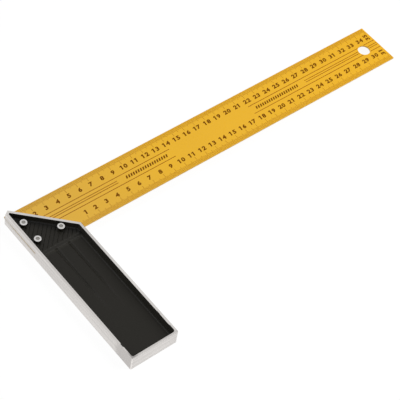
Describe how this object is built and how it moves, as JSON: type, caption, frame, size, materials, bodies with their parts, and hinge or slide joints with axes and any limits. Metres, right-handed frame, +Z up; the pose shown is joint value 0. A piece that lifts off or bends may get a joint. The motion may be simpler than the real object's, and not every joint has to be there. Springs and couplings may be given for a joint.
{
  "type": "carpenters square",
  "caption": "Rigid L-shaped square for marking and checking right angles and mitres: flat printed ruler blade riveted into a thick recessed metal stock.",
  "frame": {"origin": "on the surface that the square lies on, under the middle of its bounding box", "axes": "+X along the blade from the stock towards the blade's free end, +Y along the stock from its plain end towards the blade, +Z up through the thickness"},
  "size_m": [0.352, 0.15, 0.0135],
  "materials": {
    "stock_metal": "die cast, ground bright on the rim and the outer faces, black paint in the recesses",
    "blade_paint": "satin yellow paint on tempered steel",
    "rivet_metal": "satin",
    "scale_ink": "printed ink, satin"
  },
  "bodies": {
    "root": {"stock": "stock_metal", "blade": "blade_paint", "rivet_tip": "rivet_metal", "rivet_heel": "rivet_metal", "rivet_inner": "rivet_metal"}
  },
  "joints": []
}
